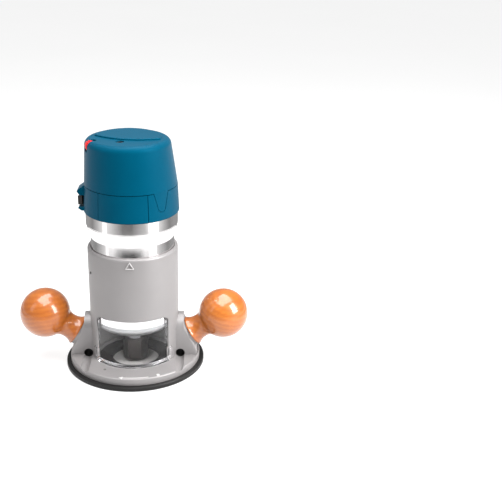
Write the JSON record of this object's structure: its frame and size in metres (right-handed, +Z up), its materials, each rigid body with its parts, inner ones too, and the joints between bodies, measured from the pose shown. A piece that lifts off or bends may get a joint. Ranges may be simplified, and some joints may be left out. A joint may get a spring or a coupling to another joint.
{
  "type": "fixed-base router",
  "caption": "Fixed-base woodworking router: round motor with blue cap in a cast base, two tilted wooden ball knobs, chip window, collet and round sub-base.",
  "frame": {"origin": "centre of the sub-base's underside, where the tool rests", "axes": "+Z up along the spindle, -Y out of the chip window at the front, +X to the right-hand knob seen from the front"},
  "size_m": [0.2508, 0.1524, 0.257],
  "materials": {
    "cast_aluminium_paint": "satin silver paint on a casting",
    "machined_aluminium": "turned and polished",
    "black_phenolic": "matte moulded sheet",
    "lacquered_wood": "glossy clear lacquer over straight grain",
    "blue_plastic": "fine moulded texture",
    "black_plastic": "moulded",
    "red_plastic": "moulded",
    "clear_plastic": "clear polycarbonate",
    "zinc_steel": "bright zinc plated",
    "black_steel": "black oxide",
    "spring_steel": "drawn wire",
    "bearing_steel": "ground",
    "laminated_steel": "stacked laminations",
    "copper_winding": "varnished wire",
    "carbon": "pressed carbon",
    "brass_fitting": "plain"
  },
  "bodies": {
    "base": {"base_casting": "cast_aluminium_paint", "sub_base": "black_phenolic", "sub_base_screws": "zinc_steel", "left_handle": "lacquered_wood", "right_handle": "lacquered_wood", "left_handle_stud": "zinc_steel", "right_handle_stud": "zinc_steel", "clamp_bolt": "zinc_steel", "clamp_nut": "zinc_steel"},
    "clamp_lever": {"clamp_lever": "black_plastic", "clamp_lever_pin": "zinc_steel"},
    "adjuster": {"adjust_screw": "zinc_steel", "adjust_knob": "black_plastic"},
    "indicator": {"indicator_ring": "black_plastic"},
    "carriage": {"adjust_carriage": "machined_aluminium", "release_lever_pin": "zinc_steel", "release_spring": "spring_steel"},
    "release": {"release_lever": "red_plastic"},
    "shield": {"chip_shield": "clear_plastic"},
    "motor": {"motor_can": "machined_aluminium", "nose_housing": "machined_aluminium", "lower_band": "blue_plastic", "front_panel": "blue_plastic", "top_cap": "blue_plastic", "cap_screw": "black_steel", "switch_body": "black_plastic", "switch_axle": "zinc_steel", "dial_axle": "zinc_steel", "cord_inlet": "black_plastic", "stator_core": "laminated_steel", "field_coils": "copper_winding", "brush_holders": "brass_fitting", "brushes": "carbon", "brush_springs": "spring_steel", "bearing_bracket": "machined_aluminium", "upper_bearing": "bearing_steel", "lower_bearing": "bearing_steel", "control_module": "black_plastic"},
    "switch": {"power_switch": "black_plastic"},
    "dial": {"speed_dial": "red_plastic"},
    "spindle": {"armature_shaft": "bearing_steel", "armature_core": "laminated_steel", "armature_windings": "copper_winding", "commutator": "copper_winding", "cooling_fan": "black_plastic"},
    "collet": {"collet": "black_steel"},
    "nut": {"collet_nut": "black_steel"}
  },
  "joints": [
    {"name": "fine_adjust_turn", "type": "hinge", "parent": "base", "child": "adjuster", "pos_m": [0.02746, 0.05165, 0.11], "axis": [0, 0, 1], "range_deg": [-1088, 1448]},
    {"name": "indicator_turn", "type": "hinge", "parent": "adjuster", "child": "indicator", "pos_m": [0.02746, 0.05165, 0.1405], "axis": [0, 0, 1], "continuous": true},
    {"name": "carriage_travel", "type": "slide", "parent": "base", "child": "carriage", "axis": [0, 0, 1], "range_m": [-0.00357, 0.00476]},
    {"name": "release_press", "type": "hinge", "parent": "carriage", "child": "release", "pos_m": [0.03216, 0.06048, 0.109], "axis": [-0.8829, 0.4695, 0], "range_deg": [0, 8], "stiffness_Nm_per_rad": 0.05, "springref_deg": -5.73, "deforming": ["release_spring"]},
    {"name": "motor_height", "type": "slide", "parent": "carriage", "child": "motor", "axis": [0, 0, 1], "range_m": [0, 0.0254]},
    {"name": "clamp_lever_turn", "type": "hinge", "parent": "base", "child": "clamp_lever", "pos_m": [-0.0128, 0.06016, 0.062], "axis": [0, 0, 1], "range_deg": [0, 100]},
    {"name": "shield_pull", "type": "slide", "parent": "base", "child": "shield", "axis": [0, -1, 0], "range_m": [0, 0.05]},
    {"name": "spindle_turn", "type": "hinge", "parent": "motor", "child": "spindle", "pos_m": [0, 0, 0.11], "axis": [0, 0, -1], "continuous": true},
    {"name": "collet_travel", "type": "slide", "parent": "spindle", "child": "collet", "axis": [0, 0, -1], "range_m": [0, 0.003]},
    {"name": "collet_nut_turn", "type": "hinge", "parent": "collet", "child": "nut", "pos_m": [0, 0, 0.014], "axis": [0, 0, -1], "range_deg": [-3, 726]},
    {"name": "switch_rock", "type": "hinge", "parent": "motor", "child": "switch", "pos_m": [-0.0504, 0, 0.189], "axis": [0, 0, 1], "range_deg": [0, 12]},
    {"name": "speed_dial_turn", "type": "hinge", "parent": "motor", "child": "dial", "pos_m": [-0.03885, -0.0157, 0.2498], "axis": [0.3746, -0.9272, 0], "range_deg": [0, 270]}
  ],
  "couplings": [
    {"joint": "fine_adjust_turn", "follows": "carriage_travel", "rad_per_m": 5277.2},
    {"joint": "collet_nut_turn", "follows": "collet_travel", "rad_per_m": 4188.8}
  ]
}
